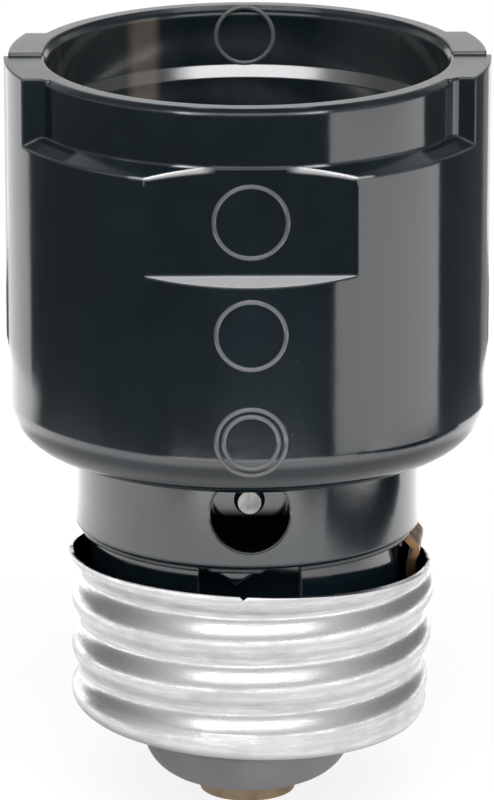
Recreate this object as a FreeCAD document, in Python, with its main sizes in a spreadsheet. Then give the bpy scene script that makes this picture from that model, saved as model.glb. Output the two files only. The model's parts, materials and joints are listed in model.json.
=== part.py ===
"""Lamp socket adapter: a socket for a medium screw-base lamp on top of a screw base of the same size.

A one-piece phenolic body holds a rolled socket shell in its cavity and a rolled base shell round its
plug. A strap joins the two shells. A sprung leaf, an angle strap and a long centre rivet join the
lamp's tip to the adapter's own tip contact. The front is towards -Y, and the tip stands on z = 0.
"""
import FreeCAD, Part
import math
import os
import Sketcher
from FreeCAD import Placement, Rotation, Vector

SIZES = [
    ("barrel_height", 27.84, "barrel's underside to the rim's front half"),
    ("parting_step", 0.2, "rear half of the rim stands higher by this"),
    ("parting_inset", 0.33, "rear half of each ear is set in by this"),
    ("mouth_step", 0.58, "mouth's radius over the cavity's"),
    ("mouth_depth", 4.14, "length of the smooth bore"),
    ("ledge_drop", 0.8, "height of the sloped ledge below the mouth"),
    ("ring_wall", 1.74, "wall of the mouth ring"),
    ("ring_height", 4.14, "height of the mouth ring above its shoulder"),
    ("rim_chamfer", 0.35, "broken edges of the rim"),
    ("shoulder_width", 1.35, "ring's outside to the barrel's"),
    ("shoulder_drop", 0.75, "slope from the ring down to the barrel"),
    ("barrel_corner", 3.15, "rounding at the barrel's foot"),
    ("ear_width", 13.6, "width of each ear"),
    ("ear_fillet", 0.9, "hollow rounding between the ear's front and the ring"),
    ("ear_rear_inset", 0.7, "rear half of each ear is narrower by this"),
    ("flat_depth", 1.65, "flat below the barrel's round"),
    ("flat_height", 7.71, "flat from the ring down to its ledge"),
    ("flat_ledge_fall", 0.38, "fall of the flat's lower ledge"),
    ("neck_inset", 0.73, "neck's radius under the base shell's crests"),
    ("neck_length", 6.42, "neck between the barrel and its own underside"),
    ("neck_base_height", 20.65, "neck's underside above the tip contact's face"),
    ("neck_chamfer", 0.25, "broken lower edge of the neck"),
    ("collar_step", 0.36, "step under the neck, in height and in radius"),
    ("plug_gap", 0.94, "plug to the inside of the base shell"),
    ("plug_shoulder_height", 8.87, "where the plug starts to taper"),
    ("dome_radius", 7.6, "dome below the base shell"),
    ("dome_top_height", 5.67, "top of the dome's upright side"),
    ("dome_corner", 3.2, "rounding of the dome"),
    ("floor_rise", 1.4, "cavity's floor above the barrel's underside"),
    ("well_width", 10.6, "well in the cavity floor, across"),
    ("well_reach", 6.0, "well in the cavity floor, axis to front wall"),
    ("well_floor_rise", 0.82, "well's floor above the neck's underside"),
    ("pocket_radius", 2.81, "round pocket in the neck's front"),
    ("pocket_depth", 3.5, "depth of the pocket from the neck's surface"),
    ("pocket_drop", 2.32, "pocket's centre below the barrel's underside"),
    ("notch_width", 7.2, "notch in the plug below the neck"),
    ("notch_depth", 1.4, "notch from the plug's surface"),
    ("notch_height", 6.18, "notch below the neck's underside"),
    ("nib_width", 4.6, "wedge-shaped nib in the notch"),
    ("nib_drop", 1.5, "length of the nib below the neck"),
    ("nib_offset", 1.0, "nib's middle from the notch's middle"),
    ("thread_pitch", 3.629, "seven turns to the inch"),
    ("thread_depth", 0.66, "crest to root"),
    ("thread_crest_width", 0.9, "flat of the rolled thread's crest"),
    ("thread_root_width", 0.9, "flat of the rolled thread's root"),
    ("sheet_thickness", 0.3, "rolled sheet of both shells"),
    ("base_crest_radius", 13.2, "base shell over its crests"),
    ("base_crest_loss", 0.3, "what the crest radius loses towards the tip"),
    ("base_rim_drop", 2.81, "base shell's upper rim, at the sides, below the neck's underside"),
    ("base_rim_rise", 1.07, "the rim is cut aslant and stands higher at the front by this"),
    ("base_lip_height", 6.22, "lower lip of the base shell"),
    ("base_curl_radius", 1.3, "curl of the lower lip"),
    ("base_foot_flare", 0.9, "height over which the base shell's foot swells to its crest radius"),
    ("base_front_crest_height", 11.67, "height of a crest at the front"),
    ("base_shift", 0.3, "base shell stands off the axis, pushed by the strap"),
    ("base_tilt", 2.2, "base shell leans towards the strap, in degrees"),
    ("rim_nick_depth", 0.25, "nick in the base shell's rim"),
    ("socket_crest_radius", 13.2, "inside of the socket shell over its crests"),
    ("socket_clearance", 0.08, "socket shell to the cavity wall"),
    ("socket_rim_drop", 7.84, "socket shell's upper rim below the body's rim"),
    ("flange_edge", 0.15, "flange from the screw heads to its hole"),
    ("screw_inset", 3.1, "shell screws from the socket shell's inside"),
    ("screw_angle", 120.0, "shell screws either side of the strap, in degrees"),
    ("screw_head_radius", 1.75, "shell screw head"),
    ("screw_head_height", 1.2, "shell screw head"),
    ("screw_shank_radius", 1.1, "shell screw shank"),
    ("screw_length", 5.0, "shell screw below its head"),
    ("screw_slot_width", 0.6, "driver slot"),
    ("hole_clearance", 0.1, "holes round shanks"),
    ("strap_thickness", 0.5, "shell strap and contact strap"),
    ("strap_width", 4.5, "shell strap and contact strap"),
    ("strap_angle", -6.0, "shell strap round from the right towards the front, in degrees"),
    ("strap_inset", 1.12, "shell strap's upright part below the neck's surface"),
    ("strap_foot_length", 3.1, "foot of the shell strap"),
    ("strap_bulge", 0.6, "how far the shell strap leans out above its lower end"),
    ("strap_lean_drop", 1.48, "that place below the neck's underside"),
    ("strap_end_gap", 0.1, "shell strap's lower end to the base shell's roots"),
    ("strap_end_drop", 6.68, "shell strap's lower end below the neck's underside"),
    ("strap_clearance", 0.15, "slot round the shell strap"),
    ("strap_rivet_offset", 1.85, "strap's upright to its rivet"),
    ("small_shank_radius", 0.8, "strap rivet and neck rivet shank"),
    ("strap_head_radius", 1.2, "strap rivet heads"),
    ("neck_head_radius", 1.1, "neck rivet heads"),
    ("small_head_height", 0.7, "strap rivet and neck rivet heads"),
    ("tip_radius", 3.6, "tip contact's brim"),
    ("tip_face_radius", 3.45, "tip contact's flat face"),
    ("tip_height", 1.37, "tip contact below the dome"),
    ("centre_shank_radius", 1.5, "centre rivet shank"),
    ("clench_radius", 2.5, "centre rivet's clenched head"),
    ("clench_height", 0.9, "centre rivet's clenched head"),
    ("contact_strap_height", 5.6, "upright leg of the contact strap above the well's floor"),
    ("contact_strap_reach", 2.7, "foot of the contact strap past the axis"),
    ("leaf_thickness", 0.4, "contact leaf"),
    ("leaf_width", 4.4, "contact leaf"),
    ("leaf_play", 0.3, "free gap on both sides of the leaf's leg"),
    ("leaf_tail", 1.3, "leaf's leg below its rivet"),
    ("leaf_shoulder_rise", 1.2, "leaf's upper bend above the cavity's floor"),
    ("leaf_crown_rise", 2.5, "leaf's crown above the cavity's floor"),
    ("leaf_tip_reach", 3.6, "leaf's tip past the axis"),
    ("leaf_bend_radius", 1.0, "bends of the leaf"),
    ("strap_bend_radius", 0.5, "bends of the straps"),
]

LIP_TURN = 75.0       # degrees that the base shell's lip turns in
LIP_STEPS = 2         # straight runs in the lip's curl
QUARTER_TURN = 90.0
HEAD_FACE = 0.75      # face of a rivet's head as a share of its radius

document = FreeCAD.newDocument("LampSocketAdapter")
sheet = document.addObject("Spreadsheet::Sheet", "Sizes")
for line, (alias, number, note) in enumerate(SIZES, start=1):
    sheet.set(f"A{line}", note)
    sheet.set(f"B{line}", str(number))
    sheet.setAlias(f"B{line}", alias)
document.recompute()


class Size:
    """A length with its value in millimetres and the sheet formula that gives it."""

    def __init__(self, value, formula):
        self.value = value
        self.formula = formula

    def __add__(self, other):
        other = as_size(other)
        return Size(self.value + other.value, f"({self.formula} + {other.formula})")

    def __sub__(self, other):
        other = as_size(other)
        return Size(self.value - other.value, f"({self.formula} - {other.formula})")

    def __mul__(self, other):
        other = as_size(other)
        return Size(self.value * other.value, f"({self.formula} * {other.formula})")

    def __truediv__(self, other):
        other = as_size(other)
        return Size(self.value / other.value, f"({self.formula} / {other.formula})")

    def __rsub__(self, other):
        return as_size(other) - self

    def __neg__(self):
        return Size(-self.value, f"(0 - {self.formula})")

    __radd__ = __add__
    __rmul__ = __mul__


def as_size(length):
    return length if isinstance(length, Size) else Size(float(length), str(float(length)))


def root(length):
    return Size(math.sqrt(length.value), f"sqrt({length.formula})")


def slope_angle(rise, run):
    return Size(math.degrees(math.atan(rise.value / run.value)), f"atan({rise.formula} / {run.formula})")


def across(radius, offset):
    """Half chord of a circle at a distance from its centre."""
    return root(radius * radius - offset * offset)


class Sheet:
    """The named sizes, each as a Size."""

    def __getattr__(self, alias):
        return Size(float(sheet.get(alias)), f"Sizes.{alias}")


size = Sheet()

# Radii and heights that follow from the sheet's sizes, from the shells outwards and the tip upwards
size.cavity_radius = size.socket_crest_radius + size.sheet_thickness + size.socket_clearance
size.mouth_radius = size.cavity_radius + size.mouth_step
size.ring_radius = size.mouth_radius + size.ring_wall
size.barrel_radius = size.ring_radius + size.shoulder_width
size.flat_distance = size.barrel_radius - size.flat_depth
size.base_inner_radius = size.base_crest_radius - size.thread_depth - size.sheet_thickness
size.neck_radius = size.base_crest_radius - size.neck_inset
size.plug_radius = size.base_inner_radius - size.plug_gap
size.notch_reach = size.plug_radius - size.notch_depth
size.strap_radius = size.neck_radius - size.strap_inset
size.strap_end_radius = size.base_inner_radius - size.strap_thickness / 2 - size.strap_end_gap
size.strap_lean_radius = size.strap_end_radius + size.strap_bulge
size.screw_circle_radius = size.socket_crest_radius - size.screw_inset
size.flange_hole_radius = size.screw_circle_radius - size.screw_head_radius - size.flange_edge
size.barrel_base_height = size.neck_base_height + size.neck_length
size.total_height = size.barrel_base_height + size.barrel_height
size.flat_base_height = size.total_height - size.ring_height - size.flat_height
size.cavity_floor_height = size.barrel_base_height + size.floor_rise
size.socket_rim_height = size.total_height - size.socket_rim_drop
size.well_floor_height = size.neck_base_height + size.well_floor_rise
size.pocket_height = size.barrel_base_height - size.pocket_drop
size.notch_base_height = size.neck_base_height - size.notch_height
size.base_rim_height = size.neck_base_height - size.base_rim_drop
size.strap_lean_height = size.neck_base_height - size.strap_lean_drop
size.strap_end_height = size.neck_base_height - size.strap_end_drop
size.leaf_shoulder_height = size.cavity_floor_height + size.leaf_shoulder_rise
size.leaf_crown_height = size.cavity_floor_height + size.leaf_crown_rise


def bind(item, **lengths):
    """Bind properties of an object to sheet formulas. Two underscores stand for a dot."""
    for path, length in lengths.items():
        item.setExpression(path.replace("__", "."), as_size(length).formula)


def place(item, x=0, y=0, z=0):
    bind(item, Placement__Base__x=x, Placement__Base__y=y, Placement__Base__z=z)


def new_sketch(owner, name, plane=None, lift=0):
    """A sketch on one of its body's own origin planes, or a free one in the XZ plane."""
    if plane is None:
        sketch = document.addObject("Sketcher::SketchObject", name)
        sketch.Placement = Placement(Vector(), Rotation(Vector(1, 0, 0), QUARTER_TURN))
        return sketch
    sketch = owner.newObject("Sketcher::SketchObject", name)
    support = next(item for item in owner.Origin.OriginFeatures if item.Role == plane)
    sketch.AttachmentSupport = [(support, "")]
    sketch.MapMode = "FlatFace"
    bind(sketch, AttachmentOffset__Base__z=lift)
    return sketch


def hold(sketch, kind, element, point, length):
    """Hold a point of the sketch at a distance from the origin along X or Y."""
    if abs(length.value) < 1e-9:
        axis = -2 if kind == "DistanceX" else -1
        sketch.addConstraint(Sketcher.Constraint("PointOnObject", element, point, axis))
        return
    if length.value > 0:
        ends = (-1, 1, element, point)
    else:
        ends = (element, point, -1, 1)
        length = -length
    number = sketch.addConstraint(Sketcher.Constraint(kind, *ends, length.value))
    sketch.setExpression(f"Constraints[{number}]", length.formula)


def arc_between(start, end, radius, turn):
    """The shorter arc from start to end: turn 1 goes counter-clockwise, -1 clockwise."""
    chord = end - start
    rise = math.sqrt(max(radius ** 2 - (chord.Length / 2) ** 2, 0.0))
    side = Vector(-chord.y, chord.x, 0).normalize() * (rise * turn)
    centre = (start + end) * 0.5 + side
    first, last = (start, end) if turn > 0 else (end, start)
    angles = [math.atan2(point.y - centre.y, point.x - centre.x) for point in (first, last)]
    return Part.ArcOfCircle(Part.Circle(centre, Vector(0, 0, 1), radius), *angles)


def draw_outline(sketch, corners, arcs=None):
    """A closed outline. arcs maps a side's number to its (radius, turn); other sides are straight."""
    arcs = arcs or {}
    corners = [(as_size(x), as_size(y)) for x, y in corners]
    points = [Vector(x.value, y.value, 0) for x, y in corners]
    sides = []
    for number, start in enumerate(points):
        end = points[(number + 1) % len(points)]
        if number in arcs:
            radius, turn = arcs[number]
            element = sketch.addGeometry(arc_between(start, end, radius.value, turn), False)
            sides.append((element, 1, 2) if turn > 0 else (element, 2, 1))
        else:
            element = sketch.addGeometry(Part.LineSegment(start, end), False)
            sides.append((element, 1, 2))
    for number, (element, first, last) in enumerate(sides):
        following = sides[(number + 1) % len(sides)]
        sketch.addConstraint(Sketcher.Constraint("Coincident", element, last, following[0], following[1]))
        hold(sketch, "DistanceX", element, first, corners[number][0])
        hold(sketch, "DistanceY", element, first, corners[number][1])
        if number in arcs:
            radius = arcs[number][0]
            place_in_list = sketch.addConstraint(Sketcher.Constraint("Radius", element, radius.value))
            sketch.setExpression(f"Constraints[{place_in_list}]", radius.formula)


def new_body(name):
    body = document.addObject("PartDesign::Body", name.title().replace("_", ""))
    body.Label = name
    return body


def turn_profile(body, name, corners, arcs=None):
    """Revolve an outline of (radius, height) corners round the Z axis."""
    sketch = new_sketch(body, f"{name}Profile", "XZ_Plane")
    draw_outline(sketch, corners, arcs)
    feature = body.newObject("PartDesign::Revolution", name)
    feature.Profile = sketch
    feature.ReferenceAxis = (sketch, ["V_Axis"])
    feature.Angle = 360
    return feature


def pad(body, sketch, name, length, down=False):
    feature = body.newObject("PartDesign::Pad", name)
    feature.Profile = sketch
    feature.Reversed = down
    bind(feature, Length=length)
    return feature


def cylinder(name, radius, height, x=0, y=0, z=0, axis=Vector(0, 0, 1)):
    item = document.addObject("Part::Cylinder", name)
    item.Placement = Placement(Vector(), Rotation(Vector(0, 0, 1), axis))
    bind(item, Radius=radius, Height=height)
    place(item, x, y, z)
    return item


def box(name, length, width, height, x, y, z):
    item = document.addObject("Part::Box", name)
    bind(item, Length=length, Width=width, Height=height)
    place(item, x, y, z)
    return item


def boolean(kind, name, first, second):
    item = document.addObject(f"Part::{kind}", name)
    item.Base = first
    item.Tool = second
    return item


def body_blank():
    """The moulding before its holes: turned profile, ears, raised rear half and side flats."""
    body = new_body("body_blank")
    rim = size.total_height
    ring_base = rim - size.ring_height
    ledge_top = rim - size.mouth_depth
    cavity = size.cavity_radius
    shank_hole = size.centre_shank_radius + size.hole_clearance
    collar = size.neck_radius - size.collar_step
    dome_foot = size.tip_height
    corners = [
        (size.mouth_radius, ledge_top),
        (cavity, ledge_top - size.ledge_drop),
        (cavity, size.cavity_floor_height),
        (shank_hole, size.cavity_floor_height),
        (shank_hole, dome_foot),
        (size.dome_radius - size.dome_corner, dome_foot),
        (size.dome_radius, dome_foot + size.dome_corner),
        (size.dome_radius, size.dome_top_height),
        (size.plug_radius, size.plug_shoulder_height),
        (size.plug_radius, size.neck_base_height - size.collar_step),
        (collar, size.neck_base_height - size.collar_step),
        (collar, size.neck_base_height),
        (size.neck_radius - size.neck_chamfer, size.neck_base_height),
        (size.neck_radius, size.neck_base_height + size.neck_chamfer),
        (size.neck_radius, size.barrel_base_height),
        (size.barrel_radius - size.barrel_corner, size.barrel_base_height),
        (size.barrel_radius, size.barrel_base_height + size.barrel_corner),
        (size.barrel_radius, ring_base - size.shoulder_drop),
        (size.ring_radius, ring_base),
        (size.ring_radius, rim - size.rim_chamfer),
        (size.ring_radius - size.rim_chamfer, rim),
        (size.mouth_radius + size.rim_chamfer, rim),
        (size.mouth_radius, rim - size.rim_chamfer),
    ]
    arcs = {
        5: (size.dome_corner, 1),
        15: (size.barrel_corner, 1),
    }
    turn_profile(body, "Turned", corners, arcs)

    half_width = size.ear_width / 2
    rear_half = half_width - size.ear_rear_inset
    ear_root = (size.mouth_radius + size.ring_radius) / 2
    rear_radius = size.barrel_radius - size.parting_inset
    fillet_reach = size.ring_radius + size.ear_fillet
    fillet_centre = across(fillet_reach, half_width + size.ear_fillet)
    on_ring = size.ring_radius / fillet_reach
    in_wall = ear_root / fillet_reach
    ears = new_sketch(body, "EarOutlines", "XY_Plane", rim)
    for side in (1, -1):
        draw_outline(ears, [
            (side * fillet_centre * in_wall, -(half_width + size.ear_fillet) * in_wall),
            (side * fillet_centre * on_ring, -(half_width + size.ear_fillet) * on_ring),
            (side * fillet_centre, -half_width),
            (side * across(size.barrel_radius, half_width), -half_width),
            (side * size.barrel_radius, 0),
            (side * rear_radius, 0),
            (side * across(rear_radius, rear_half), rear_half),
            (side * across(ear_root, rear_half), rear_half),
        ], {1: (size.ear_fillet, -side), 3: (size.barrel_radius, side), 5: (rear_radius, side),
            7: (ear_root, -side)})
    pad(body, ears, "Ears", size.ring_height + size.shoulder_drop, down=True)

    rear = new_sketch(body, "RearHalf", "XY_Plane", rim - size.rim_chamfer)
    ring_edge = size.ring_radius - size.rim_chamfer
    mouth_edge = size.mouth_radius + size.rim_chamfer
    draw_outline(rear, [
        (mouth_edge, 0),
        (rear_radius, 0),
        (across(rear_radius, rear_half), rear_half),
        (across(ring_edge, rear_half), rear_half),
        (-across(ring_edge, rear_half), rear_half),
        (-across(rear_radius, rear_half), rear_half),
        (-rear_radius, 0),
        (-mouth_edge, 0),
        (0, mouth_edge),
    ], {1: (rear_radius, 1), 3: (ring_edge, 1), 5: (rear_radius, 1),
        7: (mouth_edge, -1), 8: (mouth_edge, -1)})
    pad(body, rear, "RaisedRearHalf", size.parting_step + size.rim_chamfer)
    return body


def free_extrusion(name, sketch, length, direction, symmetric=False):
    item = document.addObject("Part::Extrusion", name)
    item.Base = sketch
    item.DirMode = "Custom"
    item.Dir = direction
    item.Solid = True
    item.Symmetric = symmetric
    bind(item, LengthFwd=length)
    return item


def flat_cutters():
    """What the two side flats take off, front and rear: an upright face over a sloped ledge."""
    top = size.total_height - size.ring_height
    reach = 2 * size.barrel_radius - size.flat_distance
    run = size.barrel_radius - size.flat_distance
    fall = size.flat_ledge_fall * (reach - size.flat_distance) / run
    tools = []
    for name, side in (("FrontFlat", -1), ("RearFlat", 1)):
        sketch = new_sketch(None, f"{name}Outline")
        sketch.Placement = Placement(Vector(), Rotation(Vector(1, 1, 1), 120))
        draw_outline(sketch, [
            (side * size.flat_distance, top),
            (side * size.flat_distance, size.flat_base_height),
            (side * reach, size.flat_base_height - fall),
            (side * reach, top),
        ])
        width = 2 * size.barrel_radius
        tools.append(free_extrusion(name, sketch, width, Vector(1, 0, 0), symmetric=True))
    return tools


def notch_cutters():
    """The notches under the neck, each with a wedge-shaped nib left in its top."""
    top = size.neck_base_height
    half = size.notch_width / 2
    tools = []
    for name, side in (("FrontNotch", -1), ("RearNotch", 1)):
        sketch = new_sketch(None, f"{name}Outline")
        middle = side * size.nib_offset
        draw_outline(sketch, [
            (-half, top),
            (middle - size.nib_width / 2, top),
            (middle, top - size.nib_drop),
            (middle + size.nib_width / 2, top),
            (half, top),
            (half, size.notch_base_height),
            (-half, size.notch_base_height),
        ])
        bind(sketch, Placement__Base__y=side * size.notch_reach)
        depth = size.neck_radius - size.notch_reach
        tools.append(free_extrusion(name, sketch, depth, Vector(0, side, 0)))
    return tools


def pocket_cutter():
    """The round pocket in the neck's front, cut off by the barrel's underside."""
    start = -size.neck_radius + size.pocket_depth
    round_hole = cylinder("PocketRound", size.pocket_radius, size.pocket_depth + size.collar_step,
                          0, start, size.pocket_height, Vector(0, -1, 0))
    wide = 2 * size.pocket_radius
    below = box("PocketLimit", wide, size.neck_radius, wide,
                -size.pocket_radius, -2 * size.neck_radius + size.pocket_depth,
                size.barrel_base_height - wide)
    return boolean("Common", "Pocket", round_hole, below)


def strap_plane():
    """The upright plane in which the shell strap is bent."""
    upright = Rotation(Vector(1, 0, 0), QUARTER_TURN)
    return Rotation(Vector(0, 0, 1), size.strap_angle.value).multiply(upright)


def strap_way_cutter():
    """The slot through the floor and the neck, and the groove down the plug, for the shell strap."""
    inner = size.strap_radius - size.strap_thickness / 2 - size.strap_clearance
    outer = size.strap_radius + size.strap_thickness / 2 + size.strap_clearance
    floor = size.cavity_floor_height
    foot_end = size.strap_radius - size.strap_foot_length - size.strap_clearance
    seat = floor - size.strap_thickness
    pit = seat - size.small_head_height - size.hole_clearance
    rivet = size.strap_radius - size.strap_rivet_offset
    pit_end = rivet - size.strap_head_radius - size.hole_clearance
    open_side = size.neck_radius + size.strap_thickness
    sketch = new_sketch(None, "StrapWayOutline")
    draw_outline(sketch, [
        (foot_end, floor + size.strap_thickness),
        (foot_end, seat),
        (pit_end, seat),
        (pit_end, pit),
        (inner, pit),
        (inner, size.strap_end_height - size.strap_thickness),
        (open_side, size.strap_end_height - size.strap_thickness),
        (open_side, size.neck_base_height),
        (outer, size.neck_base_height),
        (outer, floor + size.strap_thickness),
    ])
    turned = strap_plane()
    sketch.Placement = Placement(Vector(), turned)
    width = size.strap_width + 2 * size.strap_clearance
    across_plane = turned.multVec(Vector(0, 0, 1))
    return free_extrusion("StrapWay", sketch, width, across_plane, symmetric=True)


def screw_places():
    """Centres of the shell screws on their circle, either side of the shell strap."""
    circle = size.screw_circle_radius.value
    for side in (1, -1):
        angle = math.radians(side * size.screw_angle.value)
        yield Vector(circle * math.cos(angle), circle * math.sin(angle), 0)


def make_body():
    """The phenolic moulding: blank less flats, notches, pocket, well, strap way and holes."""
    blank = body_blank()
    well = box("Well", size.well_width, 2 * size.well_reach,
               size.cavity_floor_height - size.well_floor_height + size.strap_thickness,
               -size.well_width / 2, -size.well_reach, size.well_floor_height)
    rivet_hole = cylinder("NeckRivetHole", size.small_shank_radius + size.hole_clearance,
                          size.neck_radius - size.well_reach, 0, -size.well_reach,
                          size.pocket_height, Vector(0, -1, 0))
    tools = flat_cutters() + notch_cutters() + [pocket_cutter(), strap_way_cutter(), well, rivet_hole]
    for number, spot in enumerate(screw_places(), start=1):
        hole = cylinder(f"ScrewHole{number}", size.screw_shank_radius + size.hole_clearance,
                        size.screw_length + size.hole_clearance, spot.x, spot.y,
                        size.cavity_floor_height - size.screw_length)
        tools.append(hole)
    removed = document.addObject("Part::MultiFuse", "Removed")
    removed.Shapes = tools
    moulding = boolean("Cut", "Moulding", blank, removed)
    moulding.Label = "body"
    return moulding


def lip_curl(radius, height, curl, wall):
    """Corners of a lip that turns in below (radius, height): its outside down, then its inside up."""
    outside, inside = [], []
    for step in range(LIP_STEPS + 1):
        lean = math.radians(LIP_TURN) * step / LIP_STEPS
        reach = radius - curl * (1 - math.cos(lean))
        drop = height - curl * math.sin(lean)
        outside.append((reach, drop))
        inside.append((reach - wall * math.cos(lean), drop + wall * math.sin(lean)))
    return outside + inside[::-1]


def base_thread(rim, foot, foot_radius):
    """The rolled thread as a right-hand ridge round the tapering wall, cut off level at both ends."""
    turns_below = 2
    start = size.base_front_crest_height + size.thread_pitch * 0.25 - size.thread_pitch * turns_below
    taper = size.base_crest_loss / (rim - foot)
    ridge_base = size.thread_pitch - size.thread_root_width
    sunk = size.sheet_thickness / 2
    root = foot_radius - size.thread_depth - taper * (foot - start)
    flank_run = (ridge_base - size.thread_crest_width) / 2 / size.thread_depth

    spine = document.addObject("Part::Helix", "ThreadLine")
    spine.LocalCoord = "Right-handed"
    bind(spine, Pitch=size.thread_pitch, Radius=root, Height=rim - start + ridge_base,
         Angle=slope_angle(size.base_crest_loss, rim - foot))
    place(spine, z=start)

    section = new_sketch(None, "ThreadSection")
    half_base, half_crest = ridge_base / 2 + flank_run * sunk, size.thread_crest_width / 2
    draw_outline(section, [
        (root - sunk, -half_base),
        (root + size.thread_depth, -half_crest),
        (root + size.thread_depth, half_crest),
        (root - sunk, half_base),
    ])
    bind(section, Placement__Base__z=start)

    ridge = document.addObject("Part::Sweep", "ThreadRidge")
    ridge.Sections = [section]
    ridge.Spine = spine
    ridge.Solid = True
    ridge.Frenet = True
    bottom = foot + size.base_foot_flare / 3
    band = cylinder("ThreadBand", 2 * size.base_crest_radius, rim - bottom, z=bottom)
    return boolean("Common", "Thread", ridge, band)


def make_base_shell():
    """The aluminium screw base: thin tapering wall, knuckle thread, lip curled in at the foot."""
    rim = size.base_rim_height + size.base_rim_rise
    wall = size.sheet_thickness
    foot = size.base_lip_height + size.base_curl_radius
    foot_radius = size.base_crest_radius - size.base_crest_loss
    root_top = size.base_crest_radius - size.thread_depth
    root_foot = foot_radius - size.thread_depth
    flare_top = foot + size.base_foot_flare
    body = new_body("base_shell_wall")
    turn_profile(body, "BaseShellTurned", [
        (root_top - wall, rim),
        (root_top, rim),
        (root_foot, flare_top),
        *lip_curl(foot_radius, foot, size.base_curl_radius, wall),
        (root_foot - wall, flare_top),
    ])
    threaded = boolean("Fuse", "ThreadedShell", body, base_thread(rim, foot, foot_radius))

    nick = 2 * size.rim_nick_depth
    half_diagonal = nick / math.sqrt(2)
    wedge = box("RimNick", nick, size.base_crest_radius, nick, -size.nib_offset - half_diagonal,
                -size.base_crest_radius - nick, rim - size.rim_nick_depth + half_diagonal)
    wedge.Placement.Rotation = Rotation(Vector(0, 1, 0), 45)
    nicked = boolean("Cut", "NickedShell", threaded, wedge)

    times = 2
    reach = times * size.base_crest_radius
    slant = box("RimSlant", 2 * reach, 2 * reach, reach, -reach, -reach,
                size.base_rim_height + times * size.base_rim_rise)
    slope = math.atan2(size.base_rim_rise.value, size.base_crest_radius.value)
    slant.Placement.Rotation = Rotation(Vector(1, 0, 0), -math.degrees(slope))
    shell = boolean("Cut", "BaseShell", nicked, slant)
    shell.Label = "male_screw_shell"

    lean_over = Rotation(Vector(0, 1, 0), size.base_tilt.value)
    pivot = Vector(0, 0, ((rim + foot) / 2).value)
    shell.Placement = Placement(Vector(size.base_shift.value, 0, 0), lean_over, pivot)
    return shell


def make_socket_shell():
    """The aluminium socket shell: an open tube, turned in over the cavity floor to a flange."""
    wall = size.sheet_thickness
    inside = size.socket_crest_radius
    outside = inside + wall
    floor = size.cavity_floor_height
    body = new_body("socket_shell_wall")
    turn_profile(body, "SocketShellTurned", [
        (inside, size.socket_rim_height),
        (inside, floor + wall),
        (size.flange_hole_radius, floor + wall),
        (size.flange_hole_radius, floor),
        (outside, floor),
        (outside, size.socket_rim_height),
    ])
    turned = Rotation(Vector(0, 0, 1), size.strap_angle.value)
    rivet_reach = (size.strap_radius - size.strap_rivet_offset).value
    holes = [(spot, size.screw_shank_radius) for spot in screw_places()]
    holes.append((turned.multVec(Vector(rivet_reach, 0, 0)), size.small_shank_radius))
    punches = document.addObject("Part::MultiFuse", "FlangePunches")
    punches.Shapes = [cylinder(f"FlangePunch{number}", radius + size.hole_clearance, 3 * wall,
                               spot.x, spot.y, floor - wall)
                      for number, (spot, radius) in enumerate(holes, start=1)]
    shell = boolean("Cut", "SocketShell", body, punches)
    shell.Label = "female_screw_shell"
    return shell


def sheet_part(name, shape, placement=Placement()):
    item = document.addObject("Part::Feature", name.title().replace("_", ""))
    item.Label = name
    item.Shape = shape
    item.Placement = placement
    return item


def strip_face(points, thickness, bend_radius):
    """A strip's side face: straight runs and round bends, of one thickness, in the XY plane."""
    runs = [(after - before).normalize() for before, after in zip(points, points[1:])]
    sides = ([], [])
    for side, sign in zip(sides, (1, -1)):
        shift = sign * thickness / 2
        last = points[0] + Vector(-runs[0].y, runs[0].x, 0) * shift
        side.append(last)
        for corner, before, after in zip(points[1:-1], runs, runs[1:]):
            turn = math.atan2(before.x * after.y - before.y * after.x, before.dot(after))
            setback = bend_radius * math.tan(abs(turn) / 2)
            left = math.copysign(1, turn)
            centre = corner - before * setback + Vector(-before.y, before.x, 0) * (bend_radius * left)
            reach = bend_radius - left * shift
            start = Vector(before.y, -before.x, 0) * (reach * left)
            half = Rotation(Vector(0, 0, 1), math.degrees(turn) / 2)
            side.append((centre + start, centre + half.multVec(start),
                         centre + half.multVec(half.multVec(start))))
        side.append(points[-1] + Vector(-runs[-1].y, runs[-1].x, 0) * shift)
    edges = []
    for side in sides:
        last = side[0]
        for stop in side[1:]:
            if isinstance(stop, tuple):
                edges.append(Part.LineSegment(last, stop[0]).toShape())
                edges.append(Part.Arc(*stop).toShape())
                last = stop[2]
            else:
                edges.append(Part.LineSegment(last, stop).toShape())
    for end in (0, -1):
        edges.append(Part.LineSegment(sides[0][end], sides[1][end]).toShape())
    return Part.Face(Part.Wire(Part.__sortEdges__(edges)))


def bent_strip(points, thickness, width, bend_radius, plane):
    """A bent strip: its side face in the given plane, as wide as stated about that plane."""
    face = strip_face([Vector(x, z, 0) for x, z in points], thickness, bend_radius)
    face.translate(Vector(0, 0, -width / 2))
    strip = face.extrude(Vector(0, 0, width))
    strip.Placement = Placement(Vector(), plane).multiply(strip.Placement)
    return strip


def punched(strip, spots, radius, direction, length):
    """A strip with round holes: each spot is the middle of a hole."""
    for spot in spots:
        strip = strip.cut(Part.makeCylinder(radius, length, spot - direction * (length / 2), direction))
    return strip


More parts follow.
